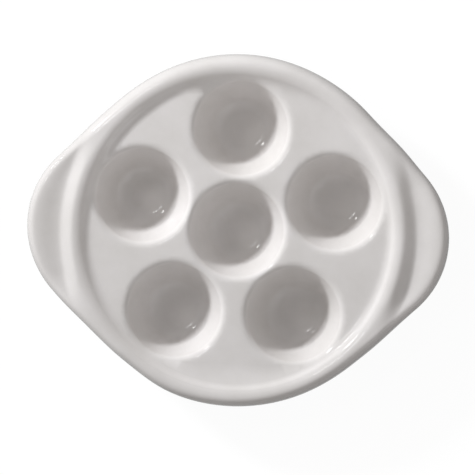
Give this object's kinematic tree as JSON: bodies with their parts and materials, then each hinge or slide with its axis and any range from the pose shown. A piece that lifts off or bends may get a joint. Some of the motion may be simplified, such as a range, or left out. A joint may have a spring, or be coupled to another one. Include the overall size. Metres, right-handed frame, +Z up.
{
  "type": "snail dish",
  "caption": "Round white glazed ceramic dish with deep round wells in a flat deck, a raised rounded rim and two lug handles, for baking and serving snails or other single bites.",
  "frame": {"origin": "on the table plane under the axis of the middle cup", "axes": "+Z up out of the wells, +X towards the right-hand handle, +Y towards the cup that stands alone at the top of the picture"},
  "size_m": [0.1778, 0.1474, 0.0242],
  "materials": {
    "glazed_body": "white gloss glaze over a fired white body"
  },
  "bodies": {
    "root": {"deck_plate": "glazed_body", "rim_ring": "glazed_body", "handle_left": "glazed_body", "handle_right": "glazed_body", "well_centre": "glazed_body", "well_top": "glazed_body", "well_left": "glazed_body", "well_lower_left": "glazed_body", "well_lower_right": "glazed_body", "well_right": "glazed_body"}
  },
  "joints": []
}
